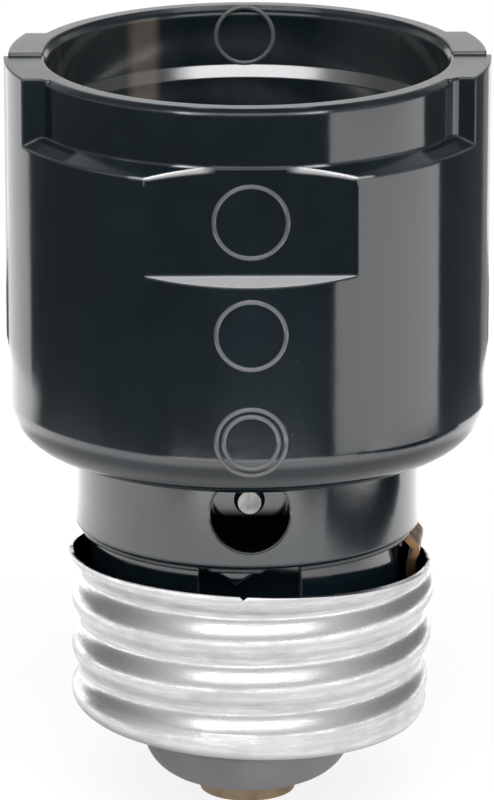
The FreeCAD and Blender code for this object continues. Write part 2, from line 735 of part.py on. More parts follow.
def make_shell_strap():
    """The brass strap from the socket shell's flange down to the inside of the base shell."""
    upright = size.strap_radius.value
    thick = size.strap_thickness.value
    seat = size.cavity_floor_height.value - thick / 2
    bend = size.strap_bend_radius.value
    points = [
        (upright - size.strap_foot_length.value, seat),
        (upright, seat),
        (upright, size.neck_base_height.value - thick / 2),
        (size.strap_lean_radius.value, size.strap_lean_height.value),
        (size.strap_end_radius.value, size.strap_lean_height.value - 2 * bend),
        (size.strap_end_radius.value, size.strap_end_height.value),
    ]
    plane = strap_plane()
    strap = bent_strip(points, thick, size.strap_width.value, bend, plane)
    rivet = plane.multVec(Vector(upright - size.strap_rivet_offset.value, seat, 0))
    hole = size.small_shank_radius.value + size.hole_clearance.value
    strap = punched(strap, [rivet], hole, Vector(0, 0, 1), 2 * thick)
    return sheet_part("shell_strap", strap)


def side_plane():
    """The upright plane through the axis from front to rear."""
    return Rotation(Vector(0, 0, 1), QUARTER_TURN).multiply(Rotation(Vector(1, 0, 0), QUARTER_TURN))


def make_contact_strap():
    """The brass angle in the well: foot under the centre rivet's clench, leg on the front wall."""
    thick = size.strap_thickness.value
    floor = size.well_floor_height.value + thick / 2
    leg = -size.well_reach.value + thick / 2
    points = [
        (size.contact_strap_reach.value, floor),
        (leg, floor),
        (leg, size.well_floor_height.value + size.contact_strap_height.value),
    ]
    strap = bent_strip(points, thick, size.strap_width.value, size.strap_bend_radius.value, side_plane())
    clear = size.hole_clearance.value
    foot_hole = size.centre_shank_radius.value + clear
    strap = punched(strap, [Vector(0, 0, floor)], foot_hole, Vector(0, 0, 1), 2 * thick)
    leg_hole = size.small_shank_radius.value + clear
    leg_spot = Vector(0, leg, size.pocket_height.value)
    strap = punched(strap, [leg_spot], leg_hole, Vector(0, 1, 0), 2 * thick)
    return sheet_part("contact_strap", strap)


def leaf_leg():
    """Middle of the leaf's upright leg, in Y."""
    inner_face = -size.well_reach.value + size.strap_thickness.value
    return inner_face + size.leaf_play.value + size.leaf_thickness.value / 2


def make_contact_leaf():
    """The sprung leaf: leg on the neck rivet, arm over the well, crown where the lamp's tip presses."""
    thick = size.leaf_thickness.value
    leg = leaf_leg()
    points = [
        (leg, size.pocket_height.value - size.leaf_tail.value),
        (leg, size.leaf_shoulder_height.value),
        (0, size.leaf_crown_height.value),
        (size.leaf_tip_reach.value, size.leaf_shoulder_height.value),
    ]
    leaf = bent_strip(points, thick, size.leaf_width.value, size.leaf_bend_radius.value, side_plane())
    hole = size.small_shank_radius.value + size.leaf_play.value
    spot = Vector(0, leg, size.pocket_height.value)
    leaf = punched(leaf, [spot], hole, Vector(0, 1, 0), 2 * thick)
    return sheet_part("contact_leaf", leaf)


def rivet_corners(shank, head_radius, head_height, start, end, tail_radius, tail_height):
    """Half section of a rivet: head below start, shank, tail clenched above end."""
    return [
        (0, start - head_height),
        (head_radius * HEAD_FACE, start - head_height),
        (head_radius, start),
        (shank, start),
        (shank, end),
        (tail_radius, end),
        (tail_radius * HEAD_FACE, end + tail_height),
        (0, end + tail_height),
    ]


def make_strap_rivet():
    """Joins the strap's foot to the flange: head on the flange, tail in the pit below the foot."""
    floor = size.cavity_floor_height
    corners = rivet_corners(size.small_shank_radius, size.strap_head_radius, size.small_head_height,
                            floor - size.strap_thickness, floor + size.sheet_thickness,
                            size.strap_head_radius, size.small_head_height)
    body = new_body("strap_rivet")
    turn_profile(body, "StrapRivetTurned", corners)
    reach = size.strap_radius.value - size.strap_rivet_offset.value
    turned = Rotation(Vector(0, 0, 1), size.strap_angle.value)
    body.Placement = Placement(turned.multVec(Vector(reach, 0, 0)), turned)
    return body


def make_neck_rivet():
    """Lies along Y through the neck's wall: head in the pocket, tail behind the leaf's leg."""
    pocket_floor = size.neck_radius - size.pocket_depth
    leg_back = size.well_reach - size.strap_thickness - size.leaf_play * 2 - size.leaf_thickness
    corners = rivet_corners(size.small_shank_radius, size.neck_head_radius, size.small_head_height,
                            as_size(0), pocket_floor - leg_back,
                            size.neck_head_radius, size.small_head_height)
    body = new_body("neck_rivet")
    turn_profile(body, "NeckRivetTurned", corners)
    body.Placement = Placement(Vector(0, -pocket_floor.value, size.pocket_height.value),
                               Rotation(Vector(1, 0, 0), -QUARTER_TURN))
    bind(body, Placement__Base__y=-pocket_floor, Placement__Base__z=size.pocket_height)
    return body


def make_centre_rivet():
    """The tip contact with its long shank, clenched over the contact strap's foot in the well."""
    top = size.well_floor_height + size.strap_thickness
    body = new_body("centre_rivet")
    turn_profile(body, "CentreRivetTurned", [
        (0, 0),
        (size.tip_face_radius, 0),
        (size.tip_radius, size.tip_height),
        (size.centre_shank_radius, size.tip_height),
        (size.centre_shank_radius, top),
        (size.clench_radius, top),
        (size.clench_radius, top + size.clench_height / 2),
        (size.centre_shank_radius, top + size.clench_height),
        (0, top + size.clench_height),
    ])
    return body


def make_shell_screws():
    """Two slotted screws that hold the socket shell's flange to the cavity floor."""
    seat = size.cavity_floor_height + size.sheet_thickness
    screws = []
    for number, spot in enumerate(screw_places(), start=1):
        shank = cylinder(f"ScrewShank{number}", size.screw_shank_radius,
                         size.screw_length, spot.x, spot.y, seat - size.screw_length)
        head = cylinder(f"ScrewHead{number}", size.screw_head_radius, size.screw_head_height,
                        spot.x, spot.y, seat)
        slot = box(f"ScrewSlot{number}", 2 * size.screw_head_radius, size.screw_slot_width,
                   size.screw_head_height / 2, spot.x - size.screw_head_radius,
                   spot.y - size.screw_slot_width / 2, seat + size.screw_head_height / 2)
        whole = boolean("Fuse", f"ScrewWhole{number}", shank, head)
        screws.append(boolean("Cut", f"Screw{number}", whole, slot))
    pair = document.addObject("Part::Compound", "ShellScrews")
    pair.Label = "shell_screws"
    pair.Links = screws
    return pair


def check_and_write(parts):
    """Stop at any failed object or broken solid, then write one file for each piece."""
    document.recompute()
    for item in document.Objects:
        if "Invalid" in item.State or "Error" in item.State:
            raise RuntimeError(f"{item.Name} failed: {item.State}")
    os.makedirs("parts", exist_ok=True)
    for part in parts:
        shape = part.Shape
        if shape.isNull() or not shape.isValid() or not shape.Solids:
            raise RuntimeError(f"{part.Label} has no valid solid")
    for part in parts:
        part.Shape.exportStep(f"parts/{part.Label}.step")
        print(f"{part.Label}: {len(part.Shape.Solids)} solids, {part.Shape.Volume:.1f} mm3")


check_and_write([
    make_body(),
    make_base_shell(),
    make_socket_shell(),
    make_shell_strap(),
    make_strap_rivet(),
    make_neck_rivet(),
    make_centre_rivet(),
    make_contact_strap(),
    make_contact_leaf(),
    make_shell_screws(),
])
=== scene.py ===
"""Dresses the lamp socket adapter: phenolic body, rolled aluminium shells, brass contacts."""
import json
import math

import bpy
from mathutils import Matrix, Vector


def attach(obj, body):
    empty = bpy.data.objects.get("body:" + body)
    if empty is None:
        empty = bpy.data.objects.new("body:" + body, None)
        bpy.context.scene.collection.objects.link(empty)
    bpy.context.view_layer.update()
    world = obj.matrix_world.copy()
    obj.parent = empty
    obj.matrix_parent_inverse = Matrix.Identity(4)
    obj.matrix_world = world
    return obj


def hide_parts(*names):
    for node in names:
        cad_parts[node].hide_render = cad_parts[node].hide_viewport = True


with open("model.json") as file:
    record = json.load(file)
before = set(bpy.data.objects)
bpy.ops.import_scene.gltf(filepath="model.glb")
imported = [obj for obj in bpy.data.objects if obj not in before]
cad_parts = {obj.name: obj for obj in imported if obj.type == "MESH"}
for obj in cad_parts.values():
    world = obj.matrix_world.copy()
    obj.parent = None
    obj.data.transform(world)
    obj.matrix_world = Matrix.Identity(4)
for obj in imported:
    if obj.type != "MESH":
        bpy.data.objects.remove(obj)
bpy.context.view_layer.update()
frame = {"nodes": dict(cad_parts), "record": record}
NODES = frame["nodes"]
MM = 0.001

# The photograph's camera
IMAGE_HEIGHT = 800
FOCAL_PIXELS = 6277.0
VIEW_DISTANCE = 451.7 * MM
VIEW_TARGET = Vector((0, 0, 28.47 * MM))
VIEW_AZIMUTH = -0.87
VIEW_ELEVATION = 16.95
TARGET_BELOW_CENTRE = 12.7
TARGET_RIGHT_OF_CENTRE = 0.5
SENSOR = 36.0


# Shader expressions


class Value:
    """An output socket that can be used in sums."""

    def __init__(self, graph, socket):
        self.graph = graph
        self.socket = socket

    def combine(self, operation, first, second):
        return self.graph.make("ShaderNodeMath", {"operation": operation}, {0: first, 1: second})

    def __add__(self, other):
        return self.combine("ADD", self, other)

    def __sub__(self, other):
        return self.combine("SUBTRACT", self, other)

    def __rsub__(self, other):
        return self.combine("SUBTRACT", other, self)

    def __mul__(self, other):
        return self.combine("MULTIPLY", self, other)

    __radd__ = __add__
    __rmul__ = __mul__


class Graph:
    """A node tree that is filled in by expressions."""

    def __init__(self, tree):
        self.tree = tree
        tree.nodes.clear()

    def make(self, kind, settings=None, inputs=None, output=0):
        node = self.tree.nodes.new(kind)
        for name, setting in (settings or {}).items():
            setattr(node, name, setting)
        for name, value in (inputs or {}).items():
            if isinstance(value, Value):
                self.tree.links.new(value.socket, node.inputs[name])
            else:
                node.inputs[name].default_value = value
        return Value(self, node.outputs[output]) if node.outputs else None

    def place(self, stretch=(1, 1, 1)):
        """The piece's own coordinates, stretched along its axes."""
        own = self.make("ShaderNodeTexCoord", output="Object")
        return self.make("ShaderNodeMapping", inputs={"Vector": own, "Scale": stretch})

    def noise(self, size, detail=3.0, roughness=0.55, stretch=(1, 1, 1)):
        """Noise whose lumps are about the given size in metres, from 0 to 1."""
        return self.make("ShaderNodeTexNoise", {"noise_dimensions": "3D"},
                         {"Vector": self.place(stretch), "Scale": 1 / size, "Detail": detail,
                          "Roughness": roughness})

    def parts(self, vector):
        """The three parts of a vector."""
        split = self.tree.nodes.new("ShaderNodeSeparateXYZ")
        self.tree.links.new(vector.socket, split.inputs[0])
        return [Value(self, part) for part in split.outputs]

    def normal(self):
        return self.make("ShaderNodeNewGeometry", output="Normal")

    def absolute(self, value):
        return self.make("ShaderNodeMath", {"operation": "ABSOLUTE"}, {0: value})

    def length(self, vector):
        return self.make("ShaderNodeVectorMath", {"operation": "LENGTH"}, {0: vector}, output=1)

    def dot(self, first, second):
        return self.make("ShaderNodeVectorMath", {"operation": "DOT_PRODUCT"},
                         {0: first, 1: second}, output=1)

    def fade(self, value, low, high):
        """0 below low, 1 above high, smooth between."""
        return self.make("ShaderNodeMapRange", {"interpolation_type": "SMOOTHSTEP"},
                         {"Value": value, "From Min": low, "From Max": high})

    def drop(self, value, low, high):
        """1 below low, 0 above high, smooth between."""
        return 1 - self.fade(value, low, high)

    def tint(self, mask, first, second):
        """Colour that goes from first to second with the mask."""
        return self.make("ShaderNodeMix", {"data_type": "RGBA"},
                         {0: mask, 6: opaque(first), 7: opaque(second)}, output=2)

    def bump(self, height, distance, strength=1.0, normal=None):
        inputs = {"Height": height, "Distance": distance, "Strength": strength}
        if normal is not None:
            inputs["Normal"] = normal
        return self.make("ShaderNodeBump", inputs=inputs)


def opaque(colour):
    return colour if isinstance(colour, Value) else (*colour, 1.0)


def new_graph(name):
    material = bpy.data.materials.new(name)
    material.use_nodes = True
    return material, Graph(material.node_tree)


def surface(graph, painted_shade=None, **sockets):
    """The Principled shader and its output. Painted shade is a mask where plain black is mixed
    in, standing in for shade.
    """
    names = {name.replace("_", " "): value for name, value in sockets.items()}
    if "Base Color" in names:
        names["Base Color"] = opaque(names["Base Color"])
    shader = graph.make("ShaderNodeBsdfPrincipled", inputs=names)
    if painted_shade is not None:
        black = graph.make("ShaderNodeBsdfDiffuse", inputs={"Color": (0.003, 0.003, 0.003, 1)})
        shader = graph.make("ShaderNodeMixShader", inputs={0: painted_shade, 1: shader, 2: black})
    graph.make("ShaderNodeOutputMaterial", inputs={"Surface": shader})


FLAT_WALL = -15.6
FLAT_END = 7.4
RING_OUTSIDE = 15.9
SHOULDER_TOP = 50.77
SHOULDER_SLOPE = 0.556
BORE_RADIUS = 14.16


class Moulding:
    """Where a point lies on the moulded body, and masks for places on it, all in millimetres."""

    def __init__(self, graph):
        self.graph = graph
        self.across, self.along, self.height = graph.parts(graph.place())
        self.beside = graph.absolute(self.across)
        self.reach = graph.length(graph.place((1, 1, 0)))
        self.normal = graph.normal()
        self.upward = graph.parts(self.normal)[2]
        self.rounded = graph.make("ShaderNodeBevel", {"samples": 8}, {"Radius": 0.3 * MM})
        self.turned = graph.dot(self.normal, self.rounded)
        self.in_bore = (self.before(self.reach, BORE_RADIUS + 0.04, BORE_RADIUS + 0.14)
                        * self.past(self.height, 48, 49))

    def past(self, value, low, high):
        return self.graph.fade(value, low * MM, high * MM)

    def before(self, value, low, high):
        return self.graph.drop(value, low * MM, high * MM)

    def mouth_ledge(self):
        """The sloped ledge under the mouth, for a painted highlight that is brightest in its
        middle.
        """
        middle = self.past(self.across, -7, -3.2) * self.before(self.across, 4.5, 10)
        return (self.graph.fade(self.upward, 0.45, 0.55)
                * self.past(self.height, 49.9, 50.0) * self.before(self.height, 50.75, 50.85)
                * self.before(self.reach, 14.4, 14.6) * (0.12 + 0.88 * middle))

    def flat_corner(self):
        """The edge between the shoulder and the front flat, left and right of the ring, for a
        painted highlight.
        """
        return (self.graph.drop(self.turned, 0.94, 0.999)
                * self.before(self.along, FLAT_WALL + 0.4, FLAT_WALL + 0.7)
                * self.past(self.height, 49.4, 49.7) * self.past(self.beside, 2, 6))

    def flat_top(self):
        """A painted highlight: a strip along the top of the front flat that narrows outwards."""
        shoulder = SHOULDER_TOP * MM - SHOULDER_SLOPE * (self.reach - RING_OUTSIDE * MM)
        below = shoulder - self.height
        return (self.before(self.along, FLAT_WALL + 0.05, FLAT_WALL + 0.1)
                * self.past(self.along, FLAT_WALL - 0.1, FLAT_WALL - 0.05)
                * self.before(below + 0.045 * self.beside, 0.36, 0.62)
                * self.past(below, -0.06, -0.03)
                * self.past(self.beside, 2.3, 3.6)
                * self.before(self.beside, FLAT_END - 0.5, FLAT_END))

    def pocket_depths(self):
        """The lower part of the neck's pocket, behind its mouth, where black is mixed in as
        painted shade.
        """
        return (self.before(self.reach, 12.1, 12.35) * self.before(self.along, -8.8, -8.6)
                * self.before(self.beside, 2.9, 3.0)
                * self.past(self.height, 21.6, 21.7) * self.before(self.height, 23.5, 24.4))

    def bore_painted_reflection(self, flow):
        """A painted reflection: an upright band at the left of the bore's rear."""
        return (self.in_bore * self.past(self.along, 0, 6)
                * self.past(self.across, -8.8, -7.9) * self.before(self.across, -6.8, -6.0)
                * (0.55 + 0.45 * self.graph.fade(flow, 0.35, 0.6)))


def phenolic(name, plain, dusty):
    """Glossy moulding: faint flow marks, fine orange peel, specks of dust, matt dome, rubbed
    edges. Painted light on it: highlights on the flat's ledge, the mouth's ledge, the flat's top
    and corners and along the edges, reflections in the bore, shade deep in the neck's pocket.
    """
    material, graph = new_graph(name)
    flow = graph.noise(9 * MM, 4, stretch=(1, 1, 0.4))
    speck = graph.noise(0.35 * MM, 2)
    blotch = graph.noise(2.2 * MM, 3)
    peel = graph.noise(1.3 * MM, 2)
    here = Moulding(graph)

    faces_up = graph.fade(here.upward, 0.93, 0.96)
    on_flat_ledge = faces_up * here.past(here.height, 40, 41) * here.before(here.height, 45, 48)
    on_rim = faces_up * here.past(here.height, 52, 53)
    dome = here.before(here.height, 4.4, 5.2)
    mouth_ledge, flat_corner = here.mouth_ledge(), here.flat_corner()
    bright = mouth_ledge + flat_corner
    dust = graph.fade(speck, 0.66, 0.78) * graph.fade(flow, 0.45, 0.7)
    # Lighter along every sharp edge: partly rubbed wear, partly a painted highlight.
    wear_and_edge_sheen = graph.drop(here.turned, 0.90, 0.985) * graph.fade(flow, 0.40, 0.60)
    mottled = 0.7 * graph.fade(flow, 0.38, 0.66) + 0.3 * graph.fade(blotch, 0.35, 0.7)

    colour = graph.tint(mottled, plain, tuple(1.6 * part for part in plain))
    layers = (
        (dust * 0.25, dusty),
        # rubbed edges, partly a painted highlight
        (wear_and_edge_sheen * 0.5, (0.16, 0.165, 0.17)),
        # painted reflection: the bore's wall is lighter towards its sides
        (here.in_bore * here.past(here.beside, 4, 10), (0.030, 0.036, 0.038)),
        # painted reflection: a brownish upright band in the bore
        (here.bore_painted_reflection(flow), (0.145, 0.126, 0.106)),
        # painted highlight on the flat's ledge, speckled
        (on_flat_ledge * (0.75 + 0.25 * speck), (0.58, 0.58, 0.59)),
        # painted highlight on the mouth's ledge, made metal-bright by the Metallic below
        (mouth_ledge, (0.28, 0.28, 0.285)),
        # painted highlight along the top of the front flat
        (here.flat_top(), (0.55, 0.55, 0.56)),
        # painted highlight on the flat's corners, made metal-bright by the Metallic below
        (flat_corner, (0.75, 0.75, 0.76)),
        (dome * (0.75 + 0.25 * graph.fade(flow, 0.35, 0.65)), (0.33, 0.33, 0.333)),
    )
    for mask, tone in layers:
        colour = graph.tint(mask, colour, tone)
    roughness = (0.085 + 0.05 * graph.fade(flow, 0.35, 0.7) + 0.12 * dust + 0.3 * dome
                 + 0.4 * on_flat_ledge + 0.12 * on_rim + 0.12 * bright)
    # Metallic 0.9 on the mouth's ledge and the flat's corners makes their painted highlights.
    surface(graph, painted_shade=here.pocket_depths(), Base_Color=colour, IOR=1.6, Metallic=0.9 * bright,
            Roughness=roughness, Normal=graph.bump(peel, 0.004 * MM, 1.0, here.rounded))
    return material


def rolled_sheet(name, colour, dark, roughness, dark_inside=False):
    """Bright rolled sheet: streaks round the axis, dull spots here and there."""
    material, graph = new_graph(name)
    streak = graph.noise(2.2 * MM, 4, 0.6, stretch=(1, 1, 9))
    cloud = graph.noise(3.1 * MM, 3)
    fine = graph.noise(0.22 * MM, 2, stretch=(1, 1, 2.5))
    dull = graph.fade(cloud, 0.42, 0.72)
    lines = graph.fade(streak, 0.36, 0.62)
    inside = None
    # painted shade: with dark_inside the sheet's inner faces are mixed to black
    if dark_inside:
        outward = graph.dot(graph.normal(), graph.place((1, 1, 0)))
        inside = graph.drop(outward, -1 * MM, 3 * MM)
    surface(graph, painted_shade=inside, Metallic=1.0,
            Base_Color=graph.tint(0.35 * dull + 0.45 * lines, colour, dark),
            Roughness=roughness + 0.10 * lines + 0.08 * dull,
            Normal=graph.bump(streak * 0.6 + fine * 0.4, 0.03 * MM, 0.5))
    return material


def small_metal(name, colour, dark, roughness, grain=0.6 * MM):
    """Stamped or turned small parts: soft tarnish and fine grain."""
    material, graph = new_graph(name)
    tarnish = graph.fade(graph.noise(grain * 3, 3), 0.4, 0.7)
    fine = graph.noise(grain / 4, 2)
    surface(graph, Base_Color=graph.tint(tarnish, colour, dark), Metallic=1.0,
            Roughness=roughness + 0.15 * tarnish,
            Normal=graph.bump(fine, 0.01 * MM, 0.5))
    return material


ALUMINIUM = ((0.71, 0.71, 0.718), (0.50, 0.50, 0.512), 0.24)
FINISHES = {
    "phenolic": phenolic("moulded_phenolic", (0.0045, 0.0100, 0.0132), (0.05, 0.05, 0.05)),
    "shell_metal": rolled_sheet("rolled_aluminium", *ALUMINIUM),
    "contact_metal": small_metal("contact_brass", (0.52, 0.40, 0.27), (0.42, 0.31, 0.20), 0.36),
    # painted shade: the strap's brass is darkened for its place in the gap under the neck
    "strap_metal": small_metal("strap_brass", (0.30, 0.175, 0.09), (0.11, 0.06, 0.035), 0.36),
    # painted shade: the rivet's plate is darkened for its place deep in the neck's pocket
    "rivet_metal": small_metal("rivet_plate", (0.27, 0.265, 0.26), (0.14, 0.138, 0.135), 0.32),
    "screw_metal": small_metal("screw_plate", (0.62, 0.61, 0.58), (0.36, 0.35, 0.33), 0.30),
}
for part in frame["record"]["subparts"]:
    node = NODES[part["node"]]
    node.data.materials.clear()
    node.data.materials.append(FINISHES[part["material_slot"]])


# Modelling


def choose(piece, wanted):
    """Selects only the vertices that the test picks, and stays in edit mode."""
    bpy.context.view_layer.objects.active = piece
    if piece.mode != "EDIT":
        bpy.ops.object.select_all(action="DESELECT")
        piece.select_set(True)
        bpy.ops.object.mode_set(mode="EDIT")
    bpy.ops.mesh.select_mode(type="VERT")
    bpy.ops.mesh.select_all(action="DESELECT")
    bpy.ops.object.mode_set(mode="OBJECT")
    for vertex in piece.data.vertices:
        vertex.select = wanted(vertex)
    bpy.ops.object.mode_set(mode="EDIT")


def add_primitive(operator, name, **sizes):
    """A new mesh primitive, alone in the selection, with its place in its mesh."""
    if bpy.context.object and bpy.context.object.mode == "EDIT":
        bpy.ops.object.mode_set(mode="OBJECT")
    bpy.ops.object.select_all(action="DESELECT")
    operator(**sizes)
    piece = bpy.context.object
    piece.name = piece.data.name = name
    bpy.ops.object.transform_apply(location=True, rotation=True, scale=True)
    return piece


def modify(piece, kind, **settings):
    """Adds a modifier and applies it."""
    if piece.mode == "EDIT":
        bpy.ops.object.mode_set(mode="OBJECT")
    modifier = piece.modifiers.new(kind.title(), kind)
    for name, setting in settings.items():
        setattr(modifier, name, setting)
    bpy.context.view_layer.objects.active = piece
    bpy.ops.object.modifier_apply(modifier=modifier.name)


def cut_out(piece, tools):
    """Takes the tools' shapes out of the piece and removes the tools."""
    for tool in tools:
        modify(piece, "BOOLEAN", object=tool, operation="DIFFERENCE", solver="MANIFOLD")
        bpy.data.objects.remove(tool)


def finish_piece(piece, slot, body, replaced=None, sharp=40):
    if piece.mode == "EDIT":
        bpy.ops.object.mode_set(mode="OBJECT")
    bpy.ops.object.select_all(action="DESELECT")
    piece.select_set(True)
    bpy.context.view_layer.objects.active = piece
    bpy.ops.object.shade_smooth_by_angle(angle=math.radians(sharp))
    piece.data.materials.clear()
    piece.data.materials.append(FINISHES[slot])
    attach(piece, body)
    if replaced:
        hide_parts(replaced)


# Screw shells

THREAD_PITCH = 3.629 * MM
THREAD_DEPTH = 0.66 * MM
HOLLOW_SHAPE = 1.25
SHEET = 0.3 * MM
WAVE_POINTS = 20
TURN_STEPS = 160


def rolled_thread(name, crest_radius, front_crest_height, low, high):
    """A thin wall with a rolled thread between two heights, open at both ends."""
    line = add_primitive(bpy.ops.mesh.primitive_grid_add, name, size=THREAD_PITCH,
                         x_subdivisions=1, y_subdivisions=WAVE_POINTS,
                         rotation=(math.pi / 2, 0, 0))
    choose(line, lambda vertex: vertex.co.x > 0)
    bpy.ops.mesh.delete(type="VERT")
    bpy.ops.object.mode_set(mode="OBJECT")
    crest_at_start = front_crest_height + THREAD_PITCH / 4
    turns_below = math.ceil((crest_at_start - low) / THREAD_PITCH) + 1
    start = crest_at_start - turns_below * THREAD_PITCH
    for vertex in line.data.vertices:
        phase = vertex.co.z / THREAD_PITCH
        hollow = (1 - math.cos(2 * math.pi * phase)) / 2
        vertex.co = (crest_radius - THREAD_DEPTH * hollow ** HOLLOW_SHAPE, 0, start + vertex.co.z)
    modify(line, "SCREW", axis="Z", angle=2 * math.pi, screw_offset=THREAD_PITCH,
           iterations=math.ceil((high - start) / THREAD_PITCH) + 2, steps=TURN_STEPS,
           render_steps=TURN_STEPS)
    choose(line, lambda vertex: True)
    bpy.ops.mesh.remove_doubles(threshold=0.0005 * MM)
    for height, side in ((low, "clear_inner"), (high, "clear_outer")):
        bpy.ops.mesh.select_all(action="SELECT")
        bpy.ops.mesh.bisect(plane_co=(0, 0, height), plane_no=(0, 0, 1),
                            threshold=0.0001 * MM, **{side: True})
    return line


def edge_ring(piece, height):
    choose(piece, lambda vertex: abs(vertex.co.z - height) < 0.002 * MM)


def draw_ring(piece, radius, height):
    """Extrudes the selected ring of edges and sets the new ring round, at the given place."""
    bpy.ops.mesh.extrude_edges_move()
    bpy.ops.object.mode_set(mode="OBJECT")
    for vertex in piece.data.vertices:
        if vertex.select:
            side = Vector((vertex.co.x, vertex.co.y, 0)).normalized() * radius
            vertex.co = (side.x, side.y, height)
    bpy.ops.object.mode_set(mode="EDIT")


def thicken(piece, wall):
    """Points the faces outwards, then gives the sheet its thickness on the inside."""
    bpy.ops.mesh.select_all(action="SELECT")
    bpy.ops.mesh.normals_make_consistent(inside=False)
    modify(piece, "SOLIDIFY", thickness=wall, offset=-1, use_even_offset=True)


# The base shell's sheet, black on its inner faces as painted shade.
BASE_METAL = rolled_sheet("rolled_base", *ALUMINIUM, dark_inside=True)
BASE_RIM = 18.91 * MM
BASE_RIM_AT_SIDES = 17.84 * MM
BASE_FOOT = 7.52 * MM
BASE_CREST = 13.2 * MM
BASE_FRONT_CREST_HEIGHT = 11.67 * MM
BASE_CREST_LOSS = 0.3 * MM
BASE_FLARE = 0.9 * MM
RIM_FLARE = 0.25 * MM
BASE_LEAN = 2.2
BASE_SHIFT = 0.3 * MM
FOOT_INSET = 0.06 * MM
FOOT_HEIGHT = 0.30 * MM
LIP_CURL = 1.3 * MM
LIP_TURN = 75
NICK_DEPTH = 0.25 * MM
NICK_PLACE = -1.0 * MM
EDGE_BREAK = 0.06 * MM


def make_base_shell():
    """The screw base: thread, swelling foot, round lip, nick in the rim, leaning a little."""
    shell = rolled_thread("screw_base_shell", BASE_CREST, BASE_FRONT_CREST_HEIGHT,
                          BASE_FOOT + BASE_FLARE, BASE_RIM + THREAD_PITCH / 4)
    bpy.ops.object.mode_set(mode="OBJECT")
    for vertex in shell.data.vertices:
        loss = BASE_CREST_LOSS * (BASE_RIM - vertex.co.z) / (BASE_RIM - BASE_FOOT)
        flare = RIM_FLARE * max(0, 1 - (BASE_RIM_AT_SIDES - vertex.co.z) / MM) ** 2
        vertex.co.xy *= 1 + (min(flare, RIM_FLARE) - loss) / BASE_CREST
    foot_radius = BASE_CREST - BASE_CREST_LOSS
    bpy.ops.object.mode_set(mode="EDIT")
    bpy.ops.mesh.select_all(action="SELECT")
    slanted = Vector((0, BASE_RIM - BASE_RIM_AT_SIDES, BASE_CREST)).normalized()
    bpy.ops.mesh.bisect(plane_co=(0, 0, BASE_RIM_AT_SIDES), plane_no=slanted,
                        threshold=0.0001 * MM, clear_outer=True)
    edge_ring(shell, BASE_FOOT + BASE_FLARE)
    draw_ring(shell, foot_radius - FOOT_INSET, BASE_FOOT + FOOT_HEIGHT)
    for angle in range(0, LIP_TURN + 1, 15):
        a = math.radians(angle)
        draw_ring(shell, foot_radius - LIP_CURL * (1 - math.cos(a)),
                  BASE_FOOT - LIP_CURL * math.sin(a))
    thicken(shell, SHEET)
    nick = add_primitive(bpy.ops.mesh.primitive_cube_add, "nick", size=NICK_DEPTH * 2 ** 0.5 * 2,
                         rotation=(0, math.pi / 4, 0),
                         location=(NICK_PLACE, -BASE_CREST, BASE_RIM + NICK_DEPTH))
    cut_out(shell, [nick])
    modify(shell, "BEVEL", width=EDGE_BREAK, segments=2, limit_method="ANGLE",
           angle_limit=math.radians(50))
    pivot = Vector((0, 0, (BASE_RIM + BASE_FOOT) / 2))
    lean = Matrix.Rotation(math.radians(BASE_LEAN), 4, "Y")
    shell.data.transform(Matrix.Translation(pivot + Vector((BASE_SHIFT, 0, 0))) @ lean
                         @ Matrix.Translation(-pivot))
    finish_piece(shell, "shell_metal", "adapter", "male_screw_shell")
    shell.data.materials[0] = BASE_METAL


CAVITY_FLOOR = 28.47 * MM
SOCKET_RIM = 47.07 * MM
SOCKET_RADIUS = 13.5 * MM
SOCKET_FRONT_CREST_HEIGHT = 32.07 * MM
SOCKET_HEM = 1.0 * MM
SOCKET_FOOT = 1.3 * MM
FLANGE_HOLE = 8.2 * MM
FLANGE_BEND = ((0.05, 0.7), (0.12, 0.2), (0.35, 0.0))
STRAP_ANGLE = -6
# Angle, distance from the axis and radius of the holes for the screws and the strap's rivet
FLANGE_HOLES = ((STRAP_ANGLE - 120, 10.1, 1.2), (STRAP_ANGLE + 120, 10.1, 1.2),
                (STRAP_ANGLE, 9.5, 0.9))


def flange_cutter(angle, reach, radius):
    """A punch, turned a little so that its corners miss the edges of the flange's faces."""
    a = math.radians(angle)
    place = (reach * MM * math.cos(a), reach * MM * math.sin(a), CAVITY_FLOOR)
    return add_primitive(bpy.ops.mesh.primitive_cylinder_add, "punch", vertices=40,
                         radius=radius * MM, depth=2 * MM, location=place,
                         rotation=(0, 0, math.radians(2.3)))


def make_socket_shell():
    """The socket shell: the same thread for the lamp, turned in over the cavity's floor."""
    shell = rolled_thread("lamp_socket_shell", SOCKET_RADIUS, SOCKET_FRONT_CREST_HEIGHT,
                          CAVITY_FLOOR + SOCKET_FOOT, SOCKET_RIM - SOCKET_HEM)
    edge_ring(shell, SOCKET_RIM - SOCKET_HEM)
    draw_ring(shell, SOCKET_RADIUS - 0.03 * MM, SOCKET_RIM - SOCKET_HEM / 2)
    draw_ring(shell, SOCKET_RADIUS, SOCKET_RIM)
    edge_ring(shell, CAVITY_FLOOR + SOCKET_FOOT)
    for inset, rise in FLANGE_BEND:
        draw_ring(shell, SOCKET_RADIUS - inset * MM, CAVITY_FLOOR + rise * MM)
    draw_ring(shell, FLANGE_HOLE, CAVITY_FLOOR)
    thicken(shell, SHEET)
    cut_out(shell, [flange_cutter(*hole) for hole in FLANGE_HOLES])
    finish_piece(shell, "shell_metal", "adapter", "female_screw_shell")


make_base_shell()
make_socket_shell()


# Plain moulded rings

RING_WIDTH = 0.34 * MM
RING_RISE = 0.12 * MM
# The rings get a much lighter phenolic than the body.
RING_FINISH = phenolic("pale_ring_phenolic", (0.10, 0.105, 0.11), (0.2, 0.2, 0.2))


